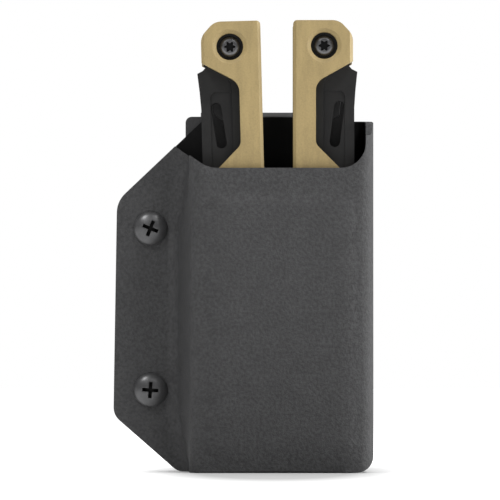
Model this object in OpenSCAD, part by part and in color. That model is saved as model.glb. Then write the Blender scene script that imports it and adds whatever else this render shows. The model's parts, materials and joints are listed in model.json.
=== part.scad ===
// Folding multi tool carried in a moulded belt sheath.
// Front is -Y, up is +Z. X and Y are centred on the whole object, Z = 0 is the sheath's lower edge.

/* [Sheath] */
// Thickness of the moulded sheet
wall = 2; // [1.5:0.1:3]
// Room between the tool and the sheet, front and back
pocket_gap = 0.3; // [0.2:0.1:1]
// Room between the tool and the left wall
left_gap = 3.2; // [2.6:0.1:5]
// Room between the tool and the folded right wall
right_gap = 3.3; // [2.5:0.1:6]
// Height of the front panel
front_h = 79.3; // [60:0.1:85]
// Height of the back panel
back_h = 93.3; // [88:0.1:100]
// Width of the screw flange
flange_w = 20.1; // [17:0.1:28]
// Radius of the folds, at the middle of the sheet
fold_r = 2.9; // [2.6:0.1:4]
// Radius of the soft hollow between flange and pocket, at the middle of the sheet
hollow_r = 5; // [2.5:0.1:5]
// Diameter of the flange screws' heads
flange_head_d = 8.9; // [8:0.1:11]
// Thickness of the rubber spacers in the flange
spacer_t = 1.6; // [1:0.1:3]
// Height of the lower flange screw
low_screw_z = 21.4; // [20:0.1:30]
// Distance between the flange screws
screw_pitch = 42.5; // [30:0.1:46]

/* [Belt clip] */
// Width of the clip's plate
clip_w = 38; // [30:1:45]
// Width of the clip's bend and spring arm
arm_clip_w = 30; // [22:1:34]
// Thickness of the clip's mounting plate
plate_t = 2.2; // [1.8:0.1:3]
// Thickness of the clip's spring arm
arm_t = 2.4; // [2:0.1:3]
// Gap that the belt goes in
belt_gap = 5.5; // [4.5:0.5:8]
// Free length of the clip below its bend
clip_l = 50; // [40:1:60]

/* [Handles] */
// Length of the closed tool
tool_l = 114.3; // [108:0.1:125]
// Width of one handle
handle_w = 15.6; // [14.6:0.1:18]
// Thickness of the tool
tool_t = 20; // [19.6:0.1:24]
// Gap between the handles, at the pliers' joint
handle_gap = 6.3; // [5.5:0.1:9]
// Angle by which the spring holds the left handle out
left_splay = 1.5; // [0:0.1:1.6]
// Thickness of a handle scale
scale_t = 3; // [2.4:0.1:3.4]
// Thickness of a steel liner
liner_t = 1; // [0.8:0.1:1.2]
// Radius of the tail pivots' barrels
barrel_r = 2.5; // [2:0.1:2.8]
// Radius of the head pivots' barrels
head_barrel_r = 2; // [1.7:0.1:2.1]

/* [Pliers and blades] */
// Thickness of the long blades
blade_t = 2.4; // [1.6:0.1:2.6]
// Length of the long blades from their pivot
blade_l = 60; // [48:0.5:61]
// Length of the short tail tools from their pivot
short_l = 20.5; // [16:0.1:21]
// Radius of the pliers' joint
boss_r = 7.5; // [6.5:0.1:8]
// Travel of the pliers out of the handles
slide_travel = 38; // [30:1:38]
// Angle that each jaw stands open from its arm
jaw_bias = 1.25; // [0.8:0.05:1.5]

/* [Hidden] */
$fn = 48;

fit = 0.03;          // running fit of a pin in its bore
rub = 0.05;          // clearance between faces that slide on each other
stop_gap = 0.4;      // tool's lower end above the sheath's lip
lip_h = 3.2;         // height of the lip that the tool rests on
lip_in = 2.4;        // reach of that lip into the pocket
washer_t = 0.25;
screw_off = 0.3;     // flange screws outside the flange's middle
tail_down = 6.6;     // tail pivots below the tool's upper end
head_side = 4.4;     // head pivots inside the handle's outer edge
head_up = 6.2;       // head pivots above the tool's lower end
barrel_wall = 1.05;
guide_step = 0.4;    // shoulder on the ends of the guide pins

// Y, from the front face back to the clip's flared tip
flare = 1.3;
total_y = 2 * wall + 2 * pocket_gap + tool_t + plate_t + belt_gap + arm_t + flare;
y_front = -total_y / 2;
y_tool = y_front + wall + pocket_gap + tool_t / 2;
y_back_in = y_front + wall + 2 * pocket_gap + tool_t;
y_back = y_back_in + wall;
y_plate = y_back + plate_t;
y_arm = y_plate + belt_gap;

// X
half_tool = handle_gap / 2 + handle_w;
pocket_w = 2 * half_tool + left_gap + right_gap + 2 * wall;
total_x = pocket_w + flange_w;
x_left = -total_x / 2;
x_right = total_x / 2;
x_wall = x_left + flange_w;
x_tool = x_wall + wall + left_gap + half_tool;
x_screw = x_left + flange_w / 2 - screw_off;
x_clip = x_wall - 1.2 + clip_w / 2;

// Z
tool_z = lip_h + stop_gap;
top_z = tool_z + tool_l;
pivot_z = 30;
ear_z = back_h + 0.3;
tail_z = top_z - tail_down;
bend_r = (plate_t + belt_gap + arm_t) / 2;
bend_z = back_h + 1.6 - bend_r;

// Handle, in its own frame: x from the tool's middle, y from its middle plane
x_in = handle_gap / 2;
x_out = half_tool;
tail_x = x_in + 0.52 * handle_w;
head_x = x_out - head_side;
head_z = tool_z + head_up;
y_scale = tool_t / 2;
y_liner = y_scale - scale_t;
y_inner = y_liner - liner_t;
y_blade = y_inner - washer_t;
y_mid = y_blade - blade_t - washer_t;
web_w = 5.9;         // handle left beside its window
head_l = 36;         // length of the head tools from their pivot
arm_x = x_in + 1.5;
arm_w = min(5.7, head_x - head_barrel_r - 0.35 - arm_x);
arm_y = min(2.9, y_mid - rub);
guide_r = min(1.6, arm_w * 0.28);
guide_x = arm_x + arm_w / 2;
guide_z = pivot_z + 14.6;
slot_top = guide_z + slide_travel;
arm_top = slot_top + guide_r + 2.8;
lap_y = y_inner - 0.2;

SIDES = ["left", "right"];

// ---------- outlines ----------
function unit(v) = v / norm(v);
function turn(a) = a > 180 ? a - 360 : a < -180 ? a + 360 : a;

// The points of one rounded corner at b, between a and c
function corner(a, b, c, r, n) =
    r <= 0 ? [b] :
    let (u = unit(a - b), v = unit(c - b), half = acos(u * v) / 2,
         centre = b + unit(u + v) * r / sin(half),
         s = b + u * r / tan(half) - centre, e = b + v * r / tan(half) - centre,
         a0 = atan2(s[1], s[0]), d = turn(atan2(e[1], e[0]) - a0))
    [for (i = [0:n]) centre + r * [cos(a0 + d * i / n), sin(a0 + d * i / n)]];

// A path whose corners are rounded; an open path keeps its two ends
function rounded(p, r, n = 6, closed = true) =
    let (m = len(p))
    [for (i = [0:m - 1])
        each (closed || (i > 0 && i < m - 1)
            ? corner(p[(i + m - 1) % m], p[i], p[(i + 1) % m], r[i], n)
            : [p[i]])];

function reverse(p) = [for (i = [len(p) - 1:-1:0]) p[i]];

// ---------- placing ----------
module slab_xz(y0, y1) translate([0, y1, 0]) rotate([90, 0, 0]) linear_extrude(y1 - y0) children();
module slab_yz(x0, x1) translate([x0, 0, 0]) rotate([90, 0, 90]) linear_extrude(x1 - x0) children();
module rod_y(x, z, y0, y1, r) translate([x, y1, z]) rotate([90, 0, 0]) cylinder(r = r, h = y1 - y0);

module slot_y(a, b, r, y0, y1) {
    d = b - a;
    rod_y(a[0], a[1], y0, y1, r);
    rod_y(b[0], b[1], y0, y1, r);
    translate([a[0], y0, a[1]]) rotate([0, -atan2(d[1], d[0]), 0])
        translate([0, 0, -r]) cube([norm(d), y1 - y0, 2 * r]);
}

// The left side is the right side mirrored, and leant out about the pliers' joint
module on_side(side) {
    translate([x_tool, y_tool, 0])
        if (side == "right") children();
        else translate([0, 0, pivot_z]) rotate([0, -left_splay, 0]) translate([0, 0, -pivot_z])
            mirror([1, 0, 0]) children();
}

// ---------- sheath ----------
// One face of the folded sheet, h outside its middle
function sheet_face(h) =
    let (yf = y_back_in - spacer_t - wall / 2, xl = x_wall + wall / 2, xr = x_right - wall / 2,
         yt = y_front + wall / 2, yb = y_back - wall / 2)
    rounded([[x_left - 1, yf - h], [xl - h, yf - h], [xl - h, yt - h], [xr + h, yt - h], [xr + h, yb + h],
        [x_left - 1, yb + h]],
        [0, hollow_r - h, fold_r + h, fold_r + h, fold_r + h, 0], 7, false);

module sheet_section() polygon(concat(sheet_face(wall / 2), reverse(sheet_face(-wall / 2))));

// Outline of the whole sheath, seen from the front
module sheath_outline() {
    high = low_screw_z + screw_pitch + 7.2;
    low = low_screw_z - 6.6;
    polygon(rounded(
        [[x_left, low], [x_left + 1.14 * low, 0], [x_right, 0], [x_right, back_h],
         [x_left + 1 + 1.05 * (back_h - high), back_h], [x_left + 0.9, high]],
        [4.5, 4, 4.4, 1.5, 3, 7], 7));
}

// What is cut off the front panel and the flange's front layer
module mouth_left() {
    polygon(rounded(
        [[x_left - 5, front_h + 8], [x_wall - 4.6, front_h + 6.8], [x_wall + 4.8, front_h], [x_tool, front_h],
         [x_tool, back_h + 9], [x_left - 5, back_h + 9]],
        [0, 3.5, 8, 0, 0, 0], 7));
}

module mouth_right() {
    edge = x_right - wall;
    polygon(rounded(
        [[x_tool - 1, front_h], [edge, front_h], [edge, back_h + 9], [x_tool - 1, back_h + 9]],
        [0, 6.5, 0, 0], 9));
}

// What is cut off the top of the folded side, seen from the side
module fold_top() {
    polygon(rounded(
        [[y_front - 5, back_h - 5.5], [y_front + 1.8, back_h - 5.5], [y_front + 3, back_h - 2.2],
            [y_back + 5, back_h - 0.7],
         [y_back + 5, back_h + 9], [y_front - 5, back_h + 9]],
        [0, 1.2, 1.5, 0, 0, 0], 5));
}

function screw_heights() = [low_screw_z, low_screw_z + screw_pitch];
function clip_screw_spots() = [[x_clip, bend_z - 12],
    [x_clip - clip_w * 0.29, bend_z - 38], [x_clip + clip_w * 0.29, bend_z - 38]];
post_r = 2.5;
shank_r = post_r - 0.75;
cross_l = 4.6;
cross_w = 1.1;
cross_deep = 1.5;
clip_screw_r = 1.6;
clip_head_r = 3.1;

module sheath_shell() {
    color("dimgray") difference() {
        intersection() {
            union() {
                linear_extrude(back_h) sheet_section();
                // lip that the handles' lower ends rest on
                translate([x_wall + wall / 2, y_front + wall / 2, 0]) 
                    cube([pocket_w - wall, wall / 2 + lip_in, lip_h]);
            }
            slab_xz(y_front - 1, y_back + 1) sheath_outline();
        }
        slab_xz(y_front - 1, y_back_in - spacer_t / 2) mouth_left();
        slab_xz(y_front - 1, y_tool) mouth_right();
        slab_yz(x_right - wall - 3, x_right + 1) fold_top();
        for (z = screw_heights()) rod_y(x_screw, z, y_front, y_back + 1, post_r + 0.1);
        for (s = clip_screw_spots()) {
            rod_y(s[0], s[1], y_back_in - 1, y_back + 1, clip_screw_r + 0.1);
            translate([s[0], y_back_in - fit, s[1]]) rotate([-90, 0, 0])
                cylinder(r1 = clip_head_r + 0.1, r2 = clip_screw_r + 0.1, h = clip_head_r - clip_screw_r);
        }
        trim_corners();
    }
}

// Keeps the lip inside the two front folds
module trim_corners() {
    r = fold_r + wall / 2;
    for (side = [0, 1])
        translate([side ? x_right - r : x_wall + r, y_front + r, -1])
            mirror([side ? 0 : 1, 0, 0]) difference() {
                translate([0, -r - 1, 0]) cube([r + 1, r + 1, lip_h + 1.5]);
                cylinder(r = r, h = lip_h + 2);
            }
}

// Truss head with a cross recess; its shank goes into the post behind
module flange_screws() {
    seat = y_back_in - spacer_t - wall;
    dome_h = 2.3;
    rim_h = 0.5;
    dome_r = (pow(flange_head_d / 2, 2) + pow(dome_h - rim_h, 2)) / (2 * (dome_h - rim_h));
    color("black") for (z = screw_heights()) translate([x_screw, seat, z]) rotate([90, 0, 0]) difference() {
        union() {
            intersection() {
                cylinder(d = flange_head_d, h = dome_h);
                translate([0, 0, dome_h - dome_r]) sphere(r = dome_r);
            }
            translate([0, 0, -4]) cylinder(r = shank_r, h = 4.2);
        }
        for (a = [45, 135]) rotate([0, 0, a]) translate([-cross_l / 2, -cross_w / 2, dome_h - cross_deep])
            cube([cross_l, cross_w, 2]);
    }
}

module flange_posts() {
    seat = y_back_in - spacer_t - wall;
    color("black") for (z = screw_heights()) difference() {
        union() {
            rod_y(x_screw, z, seat + 0.1, y_back + 0.2, post_r);
            rod_y(x_screw, z, y_back, y_back + 1.2, flange_head_d / 2);
        }
        rod_y(x_screw, z, seat, seat + 4.3, shank_r + fit);
        translate([x_screw - 3, y_back + 0.7, z - 0.5]) cube([6, 1, 1]);
    }
}

module flange_spacers() {
    color("darkslategray") for (z = screw_heights()) difference() {
        rod_y(x_screw, z, y_back_in - spacer_t, y_back_in, flange_head_d / 2);
        rod_y(x_screw, z, y_back_in - spacer_t - 1, y_back_in + 1, post_r + 0.1);
    }
}

// ---------- belt clip ----------
y_bend = y_back + bend_r;
y_arm_mid = y_arm + arm_t / 2;

function half_turn(r, n = 14) = [for (i = [0:n]) [y_bend - r * cos(180 * i / n), bend_z + r * sin(180 * i / n)]];

module clip_plate() {
    color("black") difference() {
        union() {
            slab_xz(y_back, y_plate) polygon(rounded(
                [[x_clip - clip_w / 2, bend_z - clip_l], [x_clip + clip_w / 2, bend_z - clip_l],
                 [x_clip + clip_w / 2, ear_z], [x_clip - clip_w / 2, ear_z]], [5, 5, 1.6, 1.6], 5));
            slab_yz(x_clip - arm_clip_w / 2, x_clip + arm_clip_w / 2) difference() {
                polygon(concat([[y_back, bend_z - 4]], half_turn(bend_r), reverse(half_turn(bend_r - arm_t)),
                    [[y_plate, bend_z - 2], [y_plate, bend_z - 4]]));
                translate([y_arm_mid, bend_z]) circle(r = arm_t / 2 + rub);
            }
        }
        for (s = clip_screw_spots()) rod_y(s[0], s[1], y_back - 1, y_plate + 1, clip_screw_r + 1 + rub);
    }
}

// Rounds the arm's lower corners
module arm_corners(y0, y1) {
    r = 5;
    for (side = [-1, 1]) translate([x_clip + side * (arm_clip_w / 2 - r), 0, bend_z - clip_l + r])
        difference() {
            translate([side > 0 ? 0 : -r - 1, y0, -r - 1]) cube([r + 1, y1 - y0, r + 1]);
            rod_y(0, 0, y0 - 1, y1 + 1, r);
        }
}

module clip_screws() {
    color("black") for (s = clip_screw_spots()) difference() {
        union() {
            translate([s[0], y_back_in, s[1]]) rotate([-90, 0, 0])
                cylinder(r1 = clip_head_r, r2 = clip_screw_r, h = clip_head_r - clip_screw_r);
            rod_y(s[0], s[1], y_back_in + 0.2, y_plate - 0.2, clip_screw_r);
        }
        rod_y(s[0], s[1], y_back_in - 1, y_back_in + 0.8, 0.9, $fn = 6);
    }
}

module clip_inserts() {
    color("goldenrod") for (s = clip_screw_spots()) difference() {
        rod_y(s[0], s[1], y_back, y_plate, clip_screw_r + 1);
        rod_y(s[0], s[1], y_back - 1, y_plate + 1, clip_screw_r + fit);
    }
}

module clip_arm() {
    low = bend_z - clip_l;
    color("black") difference() {
        slab_yz(x_clip - arm_clip_w / 2, x_clip + arm_clip_w / 2) {
            translate([y_arm_mid, bend_z]) circle(r = arm_t / 2);
            polygon([[y_arm, bend_z], [y_arm, low + 12], [y_arm - 2.2, low + 7.5], [y_arm - 2.2, low + 6],
                [y_arm + flare, low], [y_arm + arm_t + flare, low], [y_arm + arm_t, low + 7],
                    [y_arm + arm_t, bend_z]]);
        }
        arm_corners(y_plate + 1, y_arm + arm_t + flare + 1);
    }
}

// ---------- handles ----------
win_top = tail_z - 4.1;
win_low = tail_z - 35.4;

// Window in a handle's outer edge, whose straight side is at x
function window(x) = rounded(
    [[x_out + 3, win_top + 1.7], [x, win_top - 0.56 * (x_out - x)], [x, win_low + x_out - x],
        [x_out + 3, win_low - 3]],
    [0, 3.8, 2.6, 0], 7);

module handle_outline(inset, win_x) {
    difference() {
        polygon(rounded(
            [[x_in + inset, top_z - inset], [x_out - 3.6, top_z - inset], [x_out - inset, top_z - 3.9],
                [x_out - inset, tool_z + 5],
             [x_out - 4.5, tool_z + inset], [x_in + 3 + inset, tool_z + inset], [x_in + inset, tool_z + 4]],
            [1, 4, 4, 3, 3, 3, 3], 6));
        polygon(window(win_x));
    }
}

head_r = barrel_r + 0.1;
hole_r = head_r + 0.9;
edge_cut = 0.8;

// d is 1 for the back scale and -1 for the front one
module scale_plate(d) {
    y0 = d > 0 ? y_liner : -y_scale;
    face = d * y_scale;
    color("tan") difference() {
        slab_xz(y0, y0 + scale_t) handle_outline(0, x_in + web_w);
        for (p = [[tail_x, tail_z], [head_x, head_z]]) {
            rod_y(p[0], p[1], y0 - 1, y0 + scale_t + 1, hole_r);
            translate([p[0], face, p[1]]) rotate([90 * d, 0, 0]) translate([0, 0, -0.01])
                cylinder(r1 = hole_r + 1, r2 = hole_r - 0.2, h = 0.9);
        }
        // bevels along the long outer edges
        for (x = [x_in, x_out]) translate([x, face, tool_z - 1]) linear_extrude(tool_l + 2)
            polygon([[-edge_cut, 0], [0, -edge_cut], [edge_cut, 0], [0, edge_cut]]);
    }
}

module liner_plate(d) {
    y0 = d > 0 ? y_inner : -y_liner;
    color("dimgray") difference() {
        slab_xz(y0, y0 + liner_t) handle_outline(0.4, x_in + web_w + 2);
        rod_y(tail_x, tail_z, y0 - 1, y0 + 2, barrel_r + fit);
        rod_y(head_x, head_z, y0 - 1, y0 + 2, head_barrel_r + fit);
        rod_y(guide_x, guide_z, y0 - 1, y0 + 2, guide_r - guide_step + fit);
    }
}

module barrel(p, r) {
    color("gray") difference() {
        rod_y(p[0], p[1], -y_liner, y_liner, r);
        rod_y(p[0], p[1], -y_liner - 1, y_liner + 1, r - barrel_wall);
    }
}

// Two button heads with a hexagon recess, whose shanks meet in the barrel
module barrel_screws(p, r) {
    color("darkgray") for (d = [0, 1]) mirror([0, d, 0]) difference() {
        union() {
            rod_y(p[0], p[1], -y_liner - 1.6, -y_liner, head_r);
            rod_y(p[0], p[1], -y_liner - 0.1, -y_liner + 5, r - barrel_wall - fit);
        }
        rod_y(p[0], p[1], -y_liner - 3, -y_liner - 0.6, 1.3, $fn = 6);
    }
}

module washers(p, r) {
    color("goldenrod") for (y = [-y_inner, -y_mid - washer_t, -washer_t / 2, y_mid, y_blade]) difference() {
        rod_y(p[0], p[1], y + 0.01, y + washer_t - 0.01, r + 1.9);
        rod_y(p[0], p[1], y - 1, y + 1, r + fit);
    }
}

module guide_pin() {
    color("gray") {
        rod_y(guide_x, guide_z, -y_inner, y_inner, guide_r);
        rod_y(guide_x, guide_z, -y_liner, y_liner, guide_r - guide_step);
    }
}

spacer_x = x_out - 5.6;
spacer_w = 4;
spacer_z = 50;
spacer_h = 24;
button_z = spacer_z + 8;

module backspacer() {
    color("dimgray") difference() {
        translate([spacer_x, -y_mid + rub, spacer_z]) cube([spacer_w, 2 * (y_mid - rub), spacer_h]);
        translate([spacer_x + 1, -1.1, button_z + 2]) cube([spacer_w, 2.2, 8]);
    }
}

module release_button() {
    color("dimgray") {
        translate([spacer_x + spacer_w + rub, -2.4, button_z]) cube([2.2, 4.8, 8]);
        translate([spacer_x + 1.2, -1, button_z + 2.2]) cube([spacer_w, 2, 4]);
        for (i = [0:3]) translate([spacer_x + spacer_w + 2, -2.4, button_z + 1 + 1.8 * i])
            cube([0.5, 4.8, 0.8]);
    }
}

// ---------- blades ----------
y_long = [-y_blade, y_blade - blade_t];

// Outline shared by the long blades: tang, outer corner, spine, and an inner edge l from the pivot to the tip
module long_outline(l, tip_x) {
    tip_z = tail_z - l;
    translate([tail_x, tail_z]) circle(r = 5.4);
    polygon([[x_in + 4.4, tail_z - 4], [x_in + 4.8, tail_z - 20], [x_in + 5.9, tail_z - 24],
        [x_in + 5.2, tail_z - 26],
        [x_in + 5.2, tip_z + 14], [x_in + 7, tip_z + 6], [tip_x, tip_z], [x_out - 1.2, tip_z + 7],
        [x_out + 0.4, tip_z + 15], [x_out + 0.4, win_top - 12], [x_out + 0.7, win_top - 7.5],
        [x_out + 1.2, win_top - 2.6], [x_out - 0.2, win_top - 1.9], [tail_x + 4.6, tail_z - 3.2]]);
}

thumb_top = [x_out - 3.5, win_top - 11.6];
thumb_low = [x_out - 4.7, win_top - 20.9];

module long_blade(layer) {
    y0 = y_long[layer];
    difference() {
        slab_xz(y0, y0 + blade_t) children();
        rod_y(tail_x, tail_z, y0 - 1, y0 + blade_t + 1, barrel_r + fit);
        // a through slot for the thumb in front, a nail nick behind
        slot_y(thumb_top, thumb_low, 1.35, layer == 0 ? y0 - 1 : y0 + blade_t - 0.8, y0 + blade_t + 1);
    }
}

// A row of triangular teeth along the inner edge
module teeth(z0, z1, pitch, depth) {
    for (i = [0:floor((z1 - z0) / pitch) - 1])
        translate([x_in + 5.2, z0 + pitch * i]) polygon([[-1, 0], [depth, pitch / 2], [-1, pitch]]);
}

module knife_blade() color("dimgray") long_blade(0) long_outline(blade_l, x_out - 4.6);

module saw_blade() color("dimgray") long_blade(1) difference() {
    long_outline(blade_l - 1, x_out - 3);
    teeth(tail_z - blade_l + 15, tail_z - 27, 2, 1.3);
}

module serrated_blade() color("dimgray") long_blade(0) difference() {
    long_outline(blade_l, x_out - 4.6);
    for (i = [0:5]) translate([x_in + 4.6, tail_z - blade_l + 16 + 2.8 * i]) circle(r = 1.4);
}

module hook_blade() color("dimgray") long_blade(1) difference() {
    long_outline(blade_l - 8, x_out - 4);
    translate([x_in + 6.4, tail_z - blade_l + 22]) circle(r = 2.6);
    translate([x_in + 2, tail_z - blade_l + 20.6]) square([4, 2.2]);
}

// Tools that fold from the handles' lower ends
module head_tool(layer, w) {
    y0 = y_long[layer];
    l = head_l;
    color("dimgray") difference() {
        slab_xz(y0, y0 + blade_t) {
            translate([head_x, head_z]) circle(r = 4.2);
            polygon([[head_x - 4, head_z], [head_x + 4, head_z], [head_x + 3.4, head_z + 9],
                [head_x + w / 2, head_z + 16],
                [head_x + w / 2, head_z + l], [head_x - w / 2, head_z + l], [head_x - w / 2, head_z + 16],
                [head_x - 2.6, head_z + 9]]);
        }
        rod_y(head_x, head_z, y0 - 1, y0 + blade_t + 1, head_barrel_r + fit);
        children();
    }
}

// Thins a driver's tip to t
module driver_tip(layer, t) {
    y0 = y_long[layer];
    for (d = [0, 1]) translate([head_x - 6, y0 + (d ? blade_t / 2 + t / 2 : -1), head_z + head_l - 5])
        cube([12, blade_t / 2 - t / 2 + 1, 6]);
}

module large_driver() head_tool(0, 6.4) driver_tip(0, 0.9);
module medium_driver() head_tool(0, 4.6) driver_tip(0, 0.7);

module cross_driver() head_tool(1, 4.4)
    translate([head_x, y_long[1] + blade_t / 2, head_z + head_l - 3])
        for (d = [-1, 1]) translate([d * 3.2, 0, 0]) rotate([0, -d * 35, 0]) cube([3, 10, 9], center = true);

module file_blade() head_tool(1, 6.4)
    for (i = [0:12]) translate([head_x - 6, y_long[1] + blade_t - 0.25, head_z + 17 + 1.4 * i])
        rotate([0, 20, 0]) cube([14, 1, 0.5]);

// Short tools on the tail pivot: layer 0 is in front
short_t = (2 * y_mid - washer_t) / 2 - 2 * rub;
y_short = [-y_mid + rub, washer_t / 2 + rub];

module short_tool(layer) {
    y0 = y_short[layer];
    color("dimgray") difference() {
        slab_xz(y0, y0 + short_t) translate([tail_x, tail_z]) {
            circle(r = 4.6);
            children();
        }
        rod_y(tail_x, tail_z, y0 - 1, y0 + short_t + 1, barrel_r + fit);
    }
}

module can_opener() short_tool(0) difference() {
    polygon([[-4.4, 0], [-4.4, -12], [-2, 1.5 - short_l], [1.2, 0.6 - short_l], [5, 3.5 - short_l],
        [5.2, -6], [4.4, 0]]);
    translate([-4.6, -11.5]) circle(r = 2);
}

module bottle_opener() short_tool(0) difference() {
    polygon([[-4.4, 0], [-4.4, 2.5 - short_l], [-1, 0.6 - short_l], [4, 2.4 - short_l], [5.2, -6], [4.4, 0]]);
    translate([-3.4, -11.6]) circle(r = 2.6);
}

module small_driver() short_tool(1)
    polygon([[-4.4, 0], [-2.4, -8], [-1.6, 0.6 - short_l], [1.6, 0.6 - short_l], [2.4, -8], [4.4, 0]]);

module awl() short_tool(1)
    polygon([[-4.4, 0], [-3, -8], [-0.3, 0.6 - short_l], [0.3, 0.6 - short_l], [3, -8], [4.4, 0]]);

// ---------- pliers ----------
jaw_low = tool_z + 1.7;
notch_h = 6;
notch_z = pivot_z - boss_r - 1 - notch_h;

// One half: arm in the right handle, joint behind, jaw across on the left
module plier_half() {
    color("dimgray") difference() {
        union() {
            slab_xz(-arm_y, arm_y) polygon([[2, pivot_z + 5], [arm_x, pivot_z + 13], [arm_x, arm_top],
                [arm_x + arm_w, arm_top],
                [arm_x + arm_w, pivot_z + 11], [boss_r, pivot_z], [2, pivot_z]]);
            rod_y(0, pivot_z, rub, lap_y, boss_r);
            translate([0, 0, pivot_z]) rotate([0, jaw_bias, 0]) translate([0, 0, -pivot_z]) jaw();
        }
        // room for the other half's joint
        rod_y(0, pivot_z, -lap_y - 1, rub, boss_r + 0.3);
        rod_y(0, pivot_z, -lap_y - 1, lap_y + 1, barrel_r + fit);
        slot_y([guide_x, guide_z], [guide_x, slot_top], guide_r + rub, -arm_y - 1, arm_y + 1);
        translate([0, 0, pivot_z]) rotate([0, jaw_bias, 0]) translate([-3, -2.5, notch_z - pivot_z])
            cube([4, 5, notch_h]);
    }
}

module jaw() {
    intersection() {
        slab_xz(-lap_y, lap_y) polygon([[-0.05, pivot_z - 4], [-0.05, jaw_low], [-2.2, jaw_low],
            [-5.2, jaw_low + 9],
            [-boss_r + 0.2, pivot_z - 6], [-boss_r, pivot_z]]);
        // thinner towards the tip
        slab_yz(-boss_r - 1, 1) polygon([[-2.4, jaw_low - 1], [2.4, jaw_low - 1], [lap_y, pivot_z - 7],
            [lap_y, pivot_z + 1],
            [-lap_y, pivot_z + 1], [-lap_y, pivot_z - 7]]);
    }
}

module plier_pivot() {
    color("gray") translate([x_tool, y_tool, 0]) rod_y(0, pivot_z, -lap_y + 0.05, lap_y - 0.05, barrel_r);
}

// Leaf that pushes the arms apart, fixed to the left one
spring_x = 1.7 - arm_x;

module plier_spring() {
    color("gray") slab_xz(-1.5, 1.5)
        polygon([[arm_x, pivot_z + 22], [arm_x - 0.6, pivot_z + 22], [arm_x - 0.6, pivot_z + 15],
            [spring_x, pivot_z + 12.6],
            [spring_x, pivot_z + 12], [arm_x - 0.5, pivot_z + 14], [arm_x, pivot_z + 14]]);
}

module cutter() {
    color("silver") translate([0, 0, pivot_z]) rotate([0, jaw_bias, 0]) translate([0, 0, -pivot_z])
        difference() {
            slab_xz(-2.45, 2.45) polygon([[-2.95, notch_z + 0.05], [-0.5, notch_z + 0.05],
                [-0.1, notch_z + notch_h / 2],
                [-0.5, notch_z + notch_h - 0.05], [-2.95, notch_z + notch_h - 0.05]]);
            rod_y(-1.9, notch_z + notch_h / 2, -3, 3, 0.8);
        }
}

// ---------- drawing ----------
sheath_shell();
flange_screws();
flange_posts();
flange_spacers();
clip_plate();
clip_screws();
clip_inserts();
clip_arm();

for (side = SIDES) {
    on_side(side) scale_plate(-1);
    on_side(side) scale_plate(1);
    on_side(side) liner_plate(-1);
    on_side(side) liner_plate(1);
    on_side(side) barrel([tail_x, tail_z], barrel_r);
    on_side(side) barrel_screws([tail_x, tail_z], barrel_r);
    on_side(side) washers([tail_x, tail_z], barrel_r);
    on_side(side) barrel([head_x, head_z], head_barrel_r);
    on_side(side) barrel_screws([head_x, head_z], head_barrel_r);
    on_side(side) guide_pin();
    on_side(side) backspacer();
    on_side(side) release_button();
    on_side(side) mirror([0, side == "left" ? 1 : 0, 0]) plier_half();
    on_side(side) cutter();
}

on_side("left") serrated_blade();
on_side("left") hook_blade();
on_side("left") medium_driver();
on_side("left") file_blade();
on_side("left") can_opener();
on_side("left") small_driver();
on_side("right") knife_blade();
on_side("right") saw_blade();
on_side("right") large_driver();
on_side("right") cross_driver();
on_side("right") bottle_opener();
on_side("right") awl();
plier_pivot();
on_side("left") plier_spring();
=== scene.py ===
import bpy, math, json
from mathutils import Matrix, Vector

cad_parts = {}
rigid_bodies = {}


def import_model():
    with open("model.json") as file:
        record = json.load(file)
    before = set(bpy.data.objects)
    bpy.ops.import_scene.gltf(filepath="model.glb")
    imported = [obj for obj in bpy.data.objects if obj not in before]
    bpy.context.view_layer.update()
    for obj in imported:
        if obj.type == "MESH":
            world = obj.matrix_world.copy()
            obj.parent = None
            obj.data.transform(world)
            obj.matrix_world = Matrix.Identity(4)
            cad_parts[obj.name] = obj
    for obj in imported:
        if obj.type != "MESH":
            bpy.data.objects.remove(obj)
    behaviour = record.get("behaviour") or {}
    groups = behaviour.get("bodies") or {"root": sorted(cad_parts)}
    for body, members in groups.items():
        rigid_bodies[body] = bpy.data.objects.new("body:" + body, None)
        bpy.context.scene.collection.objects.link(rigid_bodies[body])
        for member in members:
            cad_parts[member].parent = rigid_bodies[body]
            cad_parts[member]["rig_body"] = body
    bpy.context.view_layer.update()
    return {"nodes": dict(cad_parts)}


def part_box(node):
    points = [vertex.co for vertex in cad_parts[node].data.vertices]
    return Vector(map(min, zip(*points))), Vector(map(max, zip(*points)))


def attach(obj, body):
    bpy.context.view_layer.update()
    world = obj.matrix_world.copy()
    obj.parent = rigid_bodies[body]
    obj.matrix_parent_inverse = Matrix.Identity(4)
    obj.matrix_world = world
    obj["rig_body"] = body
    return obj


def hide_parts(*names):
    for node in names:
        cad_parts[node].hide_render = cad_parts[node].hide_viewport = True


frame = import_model()
nodes = frame["nodes"]
mm = 0.001

print("camera")
view = {"distance": 1.5, "lens": 415.4, "x": 0.00189, "eye": 0.030, "aim": 0.0579, "front": -0.018}


def placeCamera():
    data = bpy.data.cameras.new("camera")
    data.lens = view["lens"]
    data.sensor_width = 36
    data.clip_start = 0.05
    camera = bpy.data.objects.new("camera", data)
    bpy.context.collection.objects.link(camera)
    place = Vector((view["x"], view["front"] - view["distance"], view["eye"]))
    aim = Vector((view["x"], view["front"], view["aim"]))
    camera.location = place
    camera.rotation_euler = (aim - place).to_track_quat("-Z", "Y").to_euler()
    bpy.context.scene.camera = camera


placeCamera()

# ---- materials: all read Object coordinates, sizes in 1/m ----
print("materials")


def newMaterial(name, roughness, metallic=0.0, specular=0.5):
    material = bpy.data.materials.new(name)
    material.use_nodes = True
    shader = material.node_tree.nodes["Principled BSDF"]
    shader.inputs["Roughness"].default_value = roughness
    shader.inputs["Metallic"].default_value = metallic
    shader.inputs["Specular IOR Level"].default_value = specular
    return material


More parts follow.
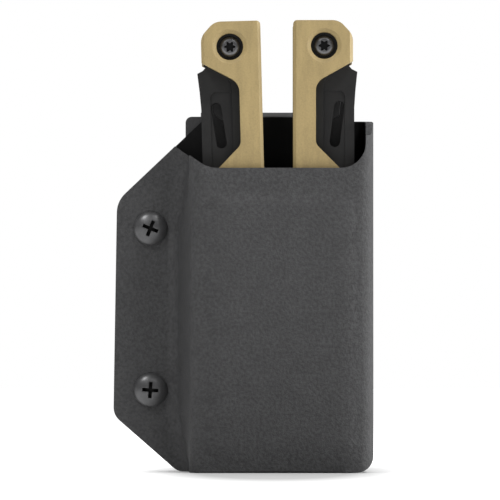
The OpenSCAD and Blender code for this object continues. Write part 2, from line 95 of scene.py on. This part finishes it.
def coordinates(material, stretch=(1, 1, 1)):
    tree = material.node_tree
    place = tree.nodes.new("ShaderNodeTexCoord")
    mapping = tree.nodes.new("ShaderNodeMapping")
    mapping.inputs["Scale"].default_value = stretch
    tree.links.new(place.outputs["Object"], mapping.inputs["Vector"])
    return mapping.outputs["Vector"]


def noise(material, vector, scale, detail=4, roughness=0.6):
    made = material.node_tree.nodes.new("ShaderNodeTexNoise")
    made.inputs["Scale"].default_value = scale
    made.inputs["Detail"].default_value = detail
    made.inputs["Roughness"].default_value = roughness
    material.node_tree.links.new(vector, made.inputs["Vector"])
    return made.outputs["Fac"]


def ramp(material, value, stops):
    made = material.node_tree.nodes.new("ShaderNodeValToRGB")
    elements = made.color_ramp.elements
    while len(elements) < len(stops):
        elements.new(0.5)
    for element, (place, colour) in zip(elements, stops):
        element.position = place
        element.color = (*colour, 1)
    material.node_tree.links.new(value, made.inputs["Fac"])
    return made.outputs["Color"]


def blendColours(material, amount, a, b, kind="MIX"):
    made = material.node_tree.nodes.new("ShaderNodeMix")
    made.data_type = "RGBA"
    made.blend_type = kind
    links = material.node_tree.links
    if isinstance(amount, float):
        made.inputs[0].default_value = amount
    else:
        links.new(amount, made.inputs[0])
    for value, slot in ((a, made.inputs[6]), (b, made.inputs[7])):
        if isinstance(value, tuple):
            slot.default_value = (*value, 1)
        else:
            links.new(value, slot)
    return made.outputs[2]


def ranged(material, value, low, high):
    made = material.node_tree.nodes.new("ShaderNodeMapRange")
    made.inputs["From Min"].default_value = 0.3
    made.inputs["From Max"].default_value = 0.7
    made.inputs["To Min"].default_value = low
    made.inputs["To Max"].default_value = high
    material.node_tree.links.new(value, made.inputs["Value"])
    return made.outputs["Result"]


def setInput(material, name, value):
    material.node_tree.links.new(value, material.node_tree.nodes["Principled BSDF"].inputs[name])


def setBump(material, height, depth, strength=1.0, under=None):
    made = material.node_tree.nodes.new("ShaderNodeBump")
    made.inputs["Strength"].default_value = strength
    made.inputs["Distance"].default_value = depth
    material.node_tree.links.new(height, made.inputs["Height"])
    if under is not None:
        material.node_tree.links.new(under, made.inputs["Normal"])
    return made.outputs["Normal"]


def shades(colour, spread):
    return [tuple(c * k for c in colour) for k in (1 - spread, 1.0, 1 + spread)]


def mottled(name, colour, spread, patch, grain, roughness, metallic=0.0, depth=0.03, specular=0.5,
            stretch=(1, 1, 1), speckled=0.5, sharp=0.25):
    # patch: size of the colour's patches, grain: size of the surface's grain, both in mm
    material = newMaterial(name, roughness[0], metallic, specular)
    even = coordinates(material)
    drawn = coordinates(material, stretch)
    patches = noise(material, drawn, 1000 / patch, 3)
    fine = noise(material, even, 1000 / grain, 5, 0.65)
    low, middle, high = shades(colour, spread)
    base = ramp(material, patches, [(0.3, low), (0.5, middle), (0.7, high)])
    speckle = ramp(material, fine, [(0.5 - sharp, (0.72, 0.72, 0.72)), (0.5 + sharp, (1.28, 1.28, 1.28))])
    setInput(material, "Base Color", blendColours(material, speckled, base, speckle, "MULTIPLY"))
    setInput(material, "Roughness", ranged(material, fine, roughness[0], roughness[1]))
    setInput(material, "Normal", setBump(material, fine, depth * mm))
    return material


mouldedSheet = mottled("mouldedSheet", (0.040, 0.040, 0.041), 0.08, 5, 0.85, (0.55, 0.7), depth=0.3,
                       specular=0.25, speckled=0.85, sharp=0.12)
# the smooth inner side of the sheet: a little glossier, and far darker than the moulded side as painted
# shade inside the pocket
smoothSideWithPaintedShade = mottled("smoothSideWithPaintedShade", (0.006, 0.006, 0.0061), 0.1, 8, 0.8, (0.38, 0.5), depth=0.02,
                      specular=0.1)
tanCoating = mottled("tanCoating", (0.286, 0.215, 0.096), 0.10, 3.2, 0.35, (0.5, 0.68), depth=0.02,
                     specular=0.35, stretch=(1.6, 1.6, 0.35))
tanWorn = mottled("tanWorn", (0.37, 0.284, 0.142), 0.12, 2.2, 0.35, (0.42, 0.6), depth=0.02,
                  stretch=(1, 1, 0.5))
blackOxide = mottled("blackOxide", (0.0135, 0.0132, 0.0132), 0.16, 4, 0.3, (0.42, 0.55), metallic=0.2,
                     specular=0.3, depth=0.012)
oxideEdge = mottled("oxideEdge", (0.060, 0.060, 0.061), 0.2, 2, 0.3, (0.3, 0.42), metallic=0.6, depth=0.01)
linerSteel = mottled("linerSteel", (0.009, 0.009, 0.0088), 0.15, 3, 0.3, (0.42, 0.55), metallic=0.2,
                     specular=0.3, depth=0.012)
clipPolymer = mottled("clipPolymer", (0.045, 0.045, 0.046), 0.08, 5, 0.4, (0.5, 0.65), depth=0.04,
                      specular=0.25)
darkScrew = mottled("darkScrew", (0.13, 0.13, 0.133), 0.15, 1.2, 0.25, (0.26, 0.38), metallic=0.85,
                    depth=0.01)
blackFastener = mottled("blackFastener", (0.085, 0.085, 0.087), 0.12, 2, 0.3, (0.32, 0.42),
                        metallic=0.55, depth=0.01)
# near-black colour for the screws' recesses: painted shade in the recesses
recessPaintedShade = mottled("recessPaintedShade", (0.006, 0.006, 0.006), 0.2, 1, 0.3, (0.5, 0.65), depth=0.01,
                      specular=0.15)
rubberSpacer = mottled("rubberSpacer", (0.02, 0.02, 0.02), 0.12, 2, 0.4, (0.7, 0.85), depth=0.03)
insertBrass = mottled("insertBrass", (0.62, 0.45, 0.2), 0.1, 1.5, 0.3, (0.28, 0.4), metallic=1.0,
                      depth=0.01)
washerBronze = mottled("washerBronze", (0.5, 0.33, 0.16), 0.12, 1.5, 0.3, (0.32, 0.46), metallic=1.0,
                       depth=0.01)
pivotSteel = mottled("pivotSteel", (0.42, 0.42, 0.43), 0.1, 1.2, 0.25, (0.24, 0.36), metallic=1.0,
                     depth=0.008, stretch=(1, 0.2, 1))
cutterSteel = mottled("cutterSteel", (0.48, 0.48, 0.49), 0.08, 2, 0.25, (0.2, 0.32), metallic=1.0,
                      depth=0.008, stretch=(4, 4, 0.4))

# ---- tools for the pieces ----


def clearSelection():
    if bpy.context.object and bpy.context.object.mode != "OBJECT":
        bpy.ops.object.mode_set(mode="OBJECT")
    bpy.ops.object.select_all(action="DESELECT")


def hold(piece):
    clearSelection()
    piece.select_set(True)
    bpy.context.view_layer.objects.active = piece


def takeCopy(node, name):
    # a merged copy of a CAD node, to be reshaped
    piece = bpy.data.objects.new(name, nodes[node].data.copy())
    bpy.context.collection.objects.link(piece)
    piece.data.materials.clear()
    piece.data.name = name
    for layer in list(piece.data.uv_layers):
        piece.data.uv_layers.remove(layer)
    hold(piece)
    if piece.data.has_custom_normals:
        bpy.ops.mesh.customdata_custom_splitnormals_clear()
    bpy.ops.object.mode_set(mode="EDIT")
    bpy.ops.mesh.select_all(action="SELECT")
    bpy.ops.mesh.remove_doubles(threshold=0.004 * mm)
    bpy.ops.mesh.dissolve_limited(angle_limit=math.radians(0.6))
    bpy.ops.object.mode_set(mode="OBJECT")
    return piece


def softenEdges(piece, width, segments=2, angle=32, edgeMaterial=None, profile=0.5, flatten=True):
    hold(piece)
    made = piece.modifiers.new("softEdges", "BEVEL")
    made.width = width * mm
    made.segments = segments
    made.limit_method = "ANGLE"
    made.angle_limit = math.radians(angle)
    made.profile = profile
    made.miter_outer = "MITER_ARC"
    if edgeMaterial is not None:
        made.material = edgeMaterial
    bpy.ops.object.modifier_apply(modifier="softEdges")
    bpy.ops.object.shade_smooth_by_angle(angle=math.radians(38))
    if not flatten:
        return
    weighted = piece.modifiers.new("flatFaces", "WEIGHTED_NORMAL")
    weighted.keep_sharp = True
    weighted.weight = 80
    bpy.ops.object.modifier_apply(modifier="flatFaces")


def finishPiece(piece, node, materials):
    for material in materials:
        piece.data.materials.append(material)
    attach(piece, nodes[node]["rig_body"])
    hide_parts(node)
    clearSelection()


def selectWhere(piece, test, kind="FACE"):
    # selects faces, edges or vertices by their place
    hold(piece)
    bpy.ops.object.mode_set(mode="EDIT")
    bpy.ops.mesh.select_mode(type="VERT")
    bpy.ops.mesh.select_all(action="DESELECT")
    bpy.ops.mesh.select_mode(type=kind)
    bpy.ops.object.mode_set(mode="OBJECT")
    mesh = piece.data
    parts = {"FACE": mesh.polygons, "EDGE": mesh.edges, "VERT": mesh.vertices}[kind]
    count = 0
    for part in parts:
        if test(part):
            part.select = True
            count += 1
    bpy.ops.object.mode_set(mode="EDIT")
    return count


# ---- plain metal and plastic pieces: edges broken, surfaces finished ----
print("inner pieces")
plainPieces = {
    # node: (edge radius in mm, materials, slot)
    "flange_posts": (0.25, [blackFastener], "black_fastener"),
    "flange_spacers": (0.3, [rubberSpacer], "rubber_spacer"),
    "clip_plate": (0.5, [clipPolymer], "clip_polymer"),
    "clip_screws": (0.2, [blackFastener], "black_fastener"),
    "clip_inserts": (0.15, [insertBrass], "insert_brass"),
    "clip_arm": (0.5, [clipPolymer], "clip_polymer"),
    "saw_blade": (0.16, [blackOxide, oxideEdge], "black_oxide"),
    "hook_blade": (0.18, [blackOxide, oxideEdge], "black_oxide"),
    "large_driver": (0.14, [blackOxide, oxideEdge], "black_oxide"),
    "medium_driver": (0.14, [blackOxide, oxideEdge], "black_oxide"),
    "cross_driver": (0.14, [blackOxide, oxideEdge], "black_oxide"),
    "file_blade": (0.05, [blackOxide, oxideEdge], "black_oxide"),
    "can_opener": (0.2, [blackOxide, oxideEdge], "black_oxide"),
    "small_driver": (0.14, [blackOxide, oxideEdge], "black_oxide"),
    "bottle_opener": (0.2, [blackOxide, oxideEdge], "black_oxide"),
    "awl": (0.12, [blackOxide, oxideEdge], "black_oxide"),
    "plier_pivot": (0.25, [pivotSteel], "pivot_steel"),
    "plier_spring": (0.08, [pivotSteel], "pivot_steel"),
}
for side in ("left", "right"):
    plainPieces[side + "_front_liner"] = (0.15, [linerSteel, oxideEdge], "liner_steel")
    plainPieces[side + "_back_liner"] = (0.15, [linerSteel, oxideEdge], "liner_steel")
    plainPieces[side + "_tail_barrel"] = (0.15, [pivotSteel], "pivot_steel")
    plainPieces[side + "_head_barrel"] = (0.15, [pivotSteel], "pivot_steel")
    plainPieces[side + "_tail_washers"] = (0.04, [washerBronze], "washer_bronze")
    plainPieces[side + "_guide_pin"] = (0.1, [pivotSteel], "pivot_steel")
    plainPieces[side + "_backspacer"] = (0.3, [linerSteel, oxideEdge], "liner_steel")
    plainPieces[side + "_release_button"] = (0.12, [blackOxide, oxideEdge], "black_oxide")
    plainPieces[side + "_plier_half"] = (0.3, [blackOxide, oxideEdge], "black_oxide")
    plainPieces[side + "_cutter"] = (0.1, [cutterSteel], "cutter_steel")


def camel(node):
    first, *others = node.split("_")
    return first + "".join(word.capitalize() for word in others)


for node, (edge, materials, slot) in plainPieces.items():
    piece = takeCopy(node, camel(node))
    softenEdges(piece, edge, 2, edgeMaterial=1 if len(materials) > 1 else None)
    finishPiece(piece, node, materials)


def addCutter(make, **where):
    clearSelection()
    make(**where)
    cutter = bpy.context.object
    bpy.ops.object.transform_apply(location=True, rotation=True, scale=True)
    return cutter


def cutAway(piece, cutter, kind="DIFFERENCE", inside=0):
    # inside is the material number that the cut's own faces get
    for face in cutter.data.polygons:
        face.material_index = inside
    hold(piece)
    made = piece.modifiers.new("cut", "BOOLEAN")
    made.operation = kind
    made.solver = "EXACT"
    made.object = cutter
    bpy.ops.object.modifier_apply(modifier="cut")
    bpy.data.objects.remove(cutter)


def turnedAbout(place, degrees, axis):
    # the matrix that turns a shape about a place
    there = Matrix.Translation(place)
    return there @ Matrix.Rotation(math.radians(degrees), 4, axis) @ there.inverted()


def leanLeft(piece):
    # the left handle is the right one mirrored, and leant out about the pliers' joint
    hold(piece)
    bpy.ops.transform.mirror(orient_type="GLOBAL", constraint_axis=(True, False, False),
                             center_override=(tool["x"], 0, 0))
    bpy.ops.object.transform_apply(location=True, rotation=True, scale=True)
    bpy.ops.object.mode_set(mode="EDIT")
    bpy.ops.mesh.select_all(action="SELECT")
    bpy.ops.mesh.normals_make_consistent(inside=False)
    bpy.ops.object.mode_set(mode="OBJECT")
    piece.data.transform(turnedAbout((tool["x"], 0, tool["pivot"]), -tool["lean"], "Y"))


tool = {"x": 10 * mm, "y": -5.7 * mm, "pivot": 30 * mm, "lean": 1.5}

print("scales")
scale = {"edge": 0.6, "segments": 3, "stepAt": 102.6, "stepDepth": 0.14, "stepRun": 0.5}
for side in ("left", "right"):
    for face in ("front", "back"):
        node = side + "_" + face + "_scale"
        piece = takeCopy(node, camel(node))
        low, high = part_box(node)
        # the grip below the pivot stands a little lower than the pivot's boss
        hold(piece)
        for height in (scale["stepAt"], scale["stepAt"] - scale["stepRun"]):
            bpy.ops.object.mode_set(mode="EDIT")
            bpy.ops.mesh.select_all(action="SELECT")
            bpy.ops.mesh.bisect(plane_co=(0, 0, height * mm), plane_no=(0, 0, 1))
            bpy.ops.object.mode_set(mode="OBJECT")
        outer = low.y if face == "front" else high.y
        inward = 1 if face == "front" else -1
        stepFoot = (scale["stepAt"] - scale["stepRun"] + 0.05) * mm
        if selectWhere(piece, lambda v: abs(v.co.y - outer) < 0.01 * mm and v.co.z < stepFoot, "VERT"):
            bpy.ops.transform.translate(value=(0, inward * scale["stepDepth"] * mm, 0))
        bpy.ops.object.mode_set(mode="OBJECT")
        softenEdges(piece, scale["edge"], scale["segments"], edgeMaterial=1)
        finishPiece(piece, node, [tanCoating, tanWorn])

print("front blades")
panel = {"x0": 10.4, "x1": 16.7, "low": 60, "high": 99.7, "depth": 0.4, "corner": 1.6, "face": -5.75}
for node in ("serrated_blade", "knife_blade"):
    piece = takeCopy(node, camel(node))
    # the sunk panel round the thumb slot
    middle = (tool["x"] + (panel["x0"] + panel["x1"]) / 2 * mm, tool["y"] + panel["face"] * mm,
              (panel["low"] + panel["high"]) / 2 * mm)
    size = ((panel["x1"] - panel["x0"]) * mm, 2 * panel["depth"] * mm, (panel["high"] - panel["low"]) * mm)
    cutter = addCutter(bpy.ops.mesh.primitive_cube_add, size=1, location=middle, scale=size)
    corners = cutter.data.vertices
    selectWhere(cutter, lambda e: abs(corners[e.vertices[0]].co.y - corners[e.vertices[1]].co.y) > 0.1 * mm,
                "EDGE")
    bpy.ops.mesh.bevel(offset=panel["corner"] * mm, segments=5, affect="EDGES")
    bpy.ops.object.mode_set(mode="OBJECT")
    if node == "serrated_blade":
        leanLeft(cutter)
    cutAway(piece, cutter)
    softenEdges(piece, 0.3, 2, edgeMaterial=1)
    finishPiece(piece, node, [blackOxide, oxideEdge])

print("screws")


def turnedHead(name, profile, place, sides=64):
    # a round head that faces -Y: each step of the profile is (radius, how far it stands out), in mm
    clearSelection()
    radius, out = profile[0]
    bpy.ops.mesh.primitive_circle_add(vertices=sides, radius=radius * mm, fill_type="NGON",
                                      location=(place[0], place[1] - out * mm, place[2]),
                                      rotation=(math.radians(90), 0, 0))
    head = bpy.context.object
    head.name = name
    bpy.ops.object.transform_apply(location=True, rotation=True, scale=True)
    bpy.ops.object.mode_set(mode="EDIT")
    bpy.ops.mesh.select_all(action="SELECT")
    for nextRadius, nextOut in profile[1:]:
        bpy.ops.mesh.extrude_region_move(TRANSFORM_OT_translate={"value": (0, -(nextOut - out) * mm, 0)})
        grown = nextRadius / radius
        bpy.ops.transform.resize(value=(grown, 1, grown),
                                 center_override=(place[0], place[1] - nextOut * mm, place[2]))
        radius, out = nextRadius, nextOut
    bpy.ops.mesh.select_all(action="SELECT")
    bpy.ops.mesh.normals_make_consistent(inside=False)
    bpy.ops.object.mode_set(mode="OBJECT")
    return head


def crossCutter(place, span, wide, deep, turn):
    # two tapered wedges across each other, narrower at the bottom
    parts = []
    for quarter in (0, 90):
        clearSelection()
        bpy.ops.mesh.primitive_cube_add(size=1, location=place, scale=(span * mm, 2 * deep * mm, wide * mm))
        wedge = bpy.context.object
        bpy.ops.object.transform_apply(location=True, rotation=True, scale=True)
        selectWhere(wedge, lambda f: f.normal.y > 0.9)
        bpy.ops.transform.resize(value=(0.45, 1, 0.6), center_override=place)
        bpy.ops.object.mode_set(mode="OBJECT")
        wedge.data.transform(turnedAbout(place, quarter + turn, "Y"))
        parts.append(wedge)
    return parts


def joinPieces(main, others):
    hold(main)
    for other in others:
        other.select_set(True)
    bpy.ops.object.join()
    return main


def facingBack(piece, middle):
    # turns a head that faces -Y about to face +Y
    piece.data.transform(turnedAbout(middle, 180, "Z"))
    return piece


flangeScrew = {"high": 2.3, "span": 6.2, "wide": 1.2, "deep": 2.0, "turns": (4, 22)}
low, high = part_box("flange_screws")
seat = low.y + flangeScrew["high"] * mm
centreX = (low.x + high.x) / 2
radius = (high.x - low.x) / 2 / mm
dome = [(1.75, -4.0), (1.75, 0.0), (radius, 0.02), (radius, 0.42), (radius * 0.985, 0.62),
        (radius * 0.93, 0.95), (radius * 0.84, 1.33), (radius * 0.72, 1.68), (radius * 0.56, 1.98),
        (radius * 0.38, 2.18), (radius * 0.2, 2.28)]
heads = []
for z, turn in zip((low.z + radius * mm, high.z - radius * mm), flangeScrew["turns"]):
    head = turnedHead("flangeScrew", dome, (centreX, seat, z))
    head.data.materials.append(blackFastener)
    head.data.materials.append(recessPaintedShade)
    # the cross's own faces take the near-black recess colour: painted shade
    for wedge in crossCutter((centreX, seat - flangeScrew["high"] * mm, z), flangeScrew["span"],
                             flangeScrew["wide"], flangeScrew["deep"], turn):
        cutAway(head, wedge, inside=1)
    heads.append(head)
piece = joinPieces(heads[0], heads[1:])
piece.name = "flangeScrews"
softenEdges(piece, 0.1, 2, angle=40)
finishPiece(piece, "flange_screws", [])

pivotScrew = {"sides": 48, "lobes": 6, "radius": 1.22, "wave": 0.22, "deep": 1.1}


def lobeCutter(place):
    # a rod with six round lobes
    sides = pivotScrew["sides"]
    cutter = addCutter(bpy.ops.mesh.primitive_cylinder_add, vertices=sides, radius=pivotScrew["radius"] * mm,
                       depth=2 * pivotScrew["deep"] * mm, location=place, rotation=(math.radians(90), 0, 0))
    for step in range(sides):
        turn = 2 * math.pi * step / sides

        def near(v):
            offset = math.atan2(v.co.z - place[2], v.co.x - place[0]) - turn
            return abs(math.remainder(offset, 2 * math.pi)) < math.radians(2)

        if abs(math.cos(pivotScrew["lobes"] * turn)) < 0.01:
            continue
        selectWhere(cutter, near, "VERT")
        grown = 1 + pivotScrew["wave"] * math.cos(pivotScrew["lobes"] * turn)
        bpy.ops.transform.resize(value=(grown, 1, grown), center_override=place)
        bpy.ops.object.mode_set(mode="OBJECT")
    return cutter


for side in ("left", "right"):
    for end, shank in (("tail", 1.42), ("head", 0.92)):
        node = side + "_" + end + "_screws"
        low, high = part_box(node)
        middle = (low + high) / 2
        radius = (high.x - low.x) / 2 / mm
        seat = low.y + 1.6 * mm
        button = [(shank, -4.9), (shank, 0), (radius, 0.01), (radius, 0.75), (radius * 0.96, 1.1),
                  (radius * 0.86, 1.38), (radius * 0.72, 1.54), (radius * 0.6, 1.6)]
        pair = []
        for back in (False, True):
            head = turnedHead(camel(node), button, (middle.x, seat, middle.z), pivotScrew["sides"])
            head.data.materials.append(darkScrew)
            head.data.materials.append(recessPaintedShade)
            # the lobes' own faces take the near-black recess colour: painted shade
            cutAway(head, lobeCutter((middle.x, low.y, middle.z)), inside=1)
            pair.append(facingBack(head, middle) if back else head)
        piece = joinPieces(pair[0], pair[1:])
        piece.name = camel(node)
        softenEdges(piece, 0.08, 2, angle=40)
        finishPiece(piece, node, [])

print("sheath")
sheath = {"edge": 0.8, "segments": 4, "bulge": 0.7, "bulgeTop": 69.5, "bulgeSoft": 3.6, "bottomRound": 1.4,
          "slant": 2.7, "slantSoft": 3.2, "slantEnds": ((5, 76), (10, 71), (15, 66))}
piece = takeCopy("sheath_shell", "sheathShell")
low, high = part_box("sheath_shell")
# the lower edge of the front turns under


def frontLowerEdge(edge):
    ends = [piece.data.vertices[v].co for v in edge.vertices]
    return all(end.z < 0.01 * mm and end.y < low.y + 0.01 * mm for end in ends)


selectWhere(piece, frontLowerEdge, "EDGE")
bpy.ops.mesh.bevel(offset=sheath["bottomRound"] * mm, segments=5, affect="EDGES")
bpy.ops.object.mode_set(mode="OBJECT")
softenEdges(piece, sheath["edge"], sheath["segments"], flatten=False)
hold(piece)
for step in range(1, 24):
    # a coarse grid up and across, and a finer one at the bulge's top
    cuts = (((0, 0, step * 2.6 * mm), (0, 0, 1)),
            ((0, 0, (61 + step * 0.75) * mm), (0, 0, 1)),
            ((low.x + (19 + step * 2.1) * mm, 0, 0), (1, 0, 0)))
    for place, along in cuts:
        bpy.ops.object.mode_set(mode="EDIT")
        bpy.ops.mesh.select_all(action="SELECT")
        bpy.ops.mesh.bisect(plane_co=place, plane_no=along)
        bpy.ops.object.mode_set(mode="OBJECT")


def pushSoftly(box, shift, reach):
    # moves the sheath's vertices inside a box, and those near it less: all in mm
    def inside(v):
        return all(a * mm < c < b * mm for c, (a, b) in zip(v.co, box))

    selectWhere(piece, inside, "VERT")
    bpy.ops.transform.translate(value=[s * mm for s in shift], use_proportional_edit=True,
                                proportional_edit_falloff="SMOOTH", proportional_size=reach * mm)
    bpy.ops.object.mode_set(mode="OBJECT")


frontY = low.y / mm
pushSoftly(((-7, 27), (frontY - 1, frontY + 2.1), (5, sheath["bulgeTop"])), (0, -sheath["bulge"], 0),
           sheath["bulgeSoft"])
# the pocket's left wall slants out towards the flange, and less so near its ends
wallFoot = {"x": (-18.6, -11.5), "y": (-6.0, 3.4)}
for heights in sheath["slantEnds"]:
    pushSoftly((wallFoot["x"], wallFoot["y"], heights), (-sheath["slant"] / len(sheath["slantEnds"]), 0, 0),
               sheath["slantSoft"])


def insideFace(face):
    # the sheet's smooth side, towards the pocket, which is given the far darker sheet colour as painted
    # shade
    x, y, z = face.center / mm
    n = face.normal
    if abs(n.z) > 0.2:
        return False
    if y > 4:
        return n.y < -0.5
    if x < -8:
        return n.x + n.y > 0.2
    return (x - 10) * n.x + (y + 5.7) * n.y < 0


bpy.ops.object.shade_smooth_by_angle(angle=math.radians(38))
finishPiece(piece, "sheath_shell", [mouldedSheet, smoothSideWithPaintedShade])
# faces towards the pocket get the darker inner sheet colour: painted shade inside the pocket
for face in piece.data.polygons:
    face.material_index = 1 if insideFace(face) else 0

# ---- floor and light ----
print("floor and light")
studio = {"floor": 8.0, "paper": 0.45, "middle": 8.0, "stretch": (2.0, 0.45, 1),
          "seen": 1.0, "nearGlow": 0.0, "glow": 1.0,
          "glowFrom": 0.04, "glowTo": 0.085, "around": 0.12,
          "top": 3.5, "right": 11.5, "front": 1.2, "spark": 4.2}
clearSelection()
bpy.ops.mesh.primitive_plane_add(size=studio["floor"], location=(studio["middle"] * mm, 0, -0.0001))
floor = bpy.context.object
floor.name = "floor"
paper = newMaterial("paper", 0.9, 0, 0.0)
whiteSheet = paper.node_tree.nodes["Principled BSDF"].inputs
whiteSheet["Base Color"].default_value = (studio["paper"],) * 3 + (1,)
whiteSheet["Emission Color"].default_value = (1, 1, 1, 1)
# painted light: the far part of the floor glows, so that it stays as white as the air behind; an oval round
# the object does not glow and is greyer, so that the shadow under it shows darker
reach = paper.node_tree.nodes.new("ShaderNodeVectorMath")
reach.operation = "LENGTH"
fade = paper.node_tree.nodes.new("ShaderNodeMapRange")
limits = {"From Min": "glowFrom", "From Max": "glowTo", "To Min": "nearGlow", "To Max": "glow"}
for name, value in limits.items():
    fade.inputs[name].default_value = studio[value]
paper.node_tree.links.new(coordinates(paper, studio["stretch"]), reach.inputs[0])
paper.node_tree.links.new(reach.outputs["Value"], fade.inputs["Value"])
paper.node_tree.links.new(fade.outputs["Result"], whiteSheet["Emission Strength"])
floor.data.materials.append(paper)


def lamp(name, place, aim, size, power):
    data = bpy.data.lights.new(name, "AREA")
    data.shape = "RECTANGLE"
    data.size, data.size_y = size
    data.energy = power
    light = bpy.data.objects.new(name, data)
    bpy.context.collection.objects.link(light)
    light.location = place
    light.rotation_euler = (Vector(aim) - Vector(place)).to_track_quat("-Z", "Y").to_euler()


lamp("topSoftbox", (0.0, 0.45, 0.8), (0, 0, 0.03), (1.0, 0.5), studio["top"])
lamp("rightSoftbox", (0.95, -0.05, 0.22), (0, 0, 0.06), (0.4, 0.4), studio["right"])
lamp("frontLeftSoftbox", (-0.32, -0.95, 0.75), (0, 0, 0.06), (0.3, 0.3), studio["front"])
lamp("frontRightSoftbox", (0.36, -0.95, 0.8), (0, 0, 0.06), (0.3, 0.3), studio["front"])
lamp("leftSpark", (-0.42, -0.42, 0.8), (0, 0, 0.06), (0.14, 0.14), studio["spark"])
lamp("rightSpark", (0.42, -0.42, 0.85), (0, 0, 0.06), (0.14, 0.14), studio["spark"])
world = bpy.data.worlds.new("world")
bpy.context.scene.world = world
world.use_nodes = True
air = world.node_tree
around = air.nodes["Background"]
around.inputs["Color"].default_value = (1, 1, 1, 1)
around.inputs["Strength"].default_value = studio["around"]
seen = air.nodes.new("ShaderNodeBackground")
seen.inputs["Strength"].default_value = studio["seen"]
seen.inputs["Color"].default_value = (1, 1, 1, 1)
ray = air.nodes.new("ShaderNodeLightPath")
either = air.nodes.new("ShaderNodeMixShader")
air.links.new(ray.outputs["Is Camera Ray"], either.inputs[0])
air.links.new(around.outputs[0], either.inputs[1])
air.links.new(seen.outputs[0], either.inputs[2])
air.links.new(either.outputs[0], air.nodes["World Output"].inputs["Surface"])
bpy.context.scene.view_settings.view_transform = "Standard"
